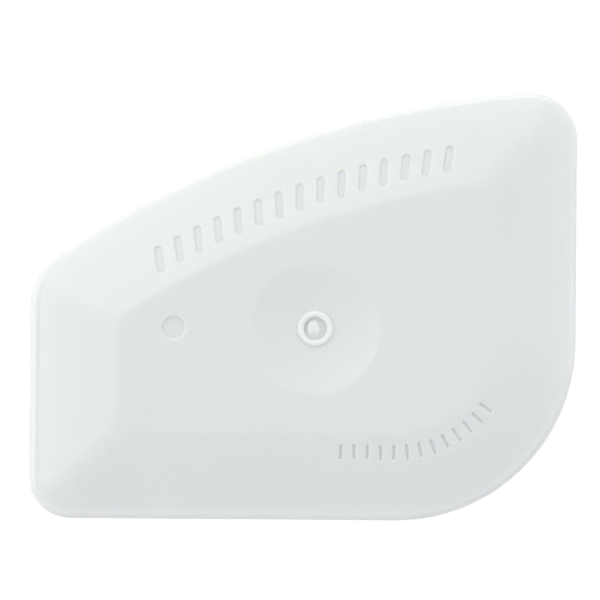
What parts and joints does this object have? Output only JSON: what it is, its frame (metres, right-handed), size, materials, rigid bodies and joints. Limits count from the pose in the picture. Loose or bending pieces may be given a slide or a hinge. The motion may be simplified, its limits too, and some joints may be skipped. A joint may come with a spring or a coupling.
{
  "type": "pan scraper",
  "caption": "Hand-held pan scraper: a stiff plastic plate with a thin rounded edge, wide bevels, four different corner curves and a thumb dish.",
  "frame": {"origin": "middle of the flat back face, the face opposite the bevelled one", "axes": "+X along the width towards the edge with the large curve, +Y from the long straight edge to the long curved edge, +Z out of the bevelled face"},
  "size_m": [0.0826, 0.0648, 0.0048],
  "materials": {
    "milky_plastic": "satin, slightly translucent milky white, fine moulded grain"
  },
  "bodies": {
    "root": {"scraper": "milky_plastic"}
  },
  "joints": []
}
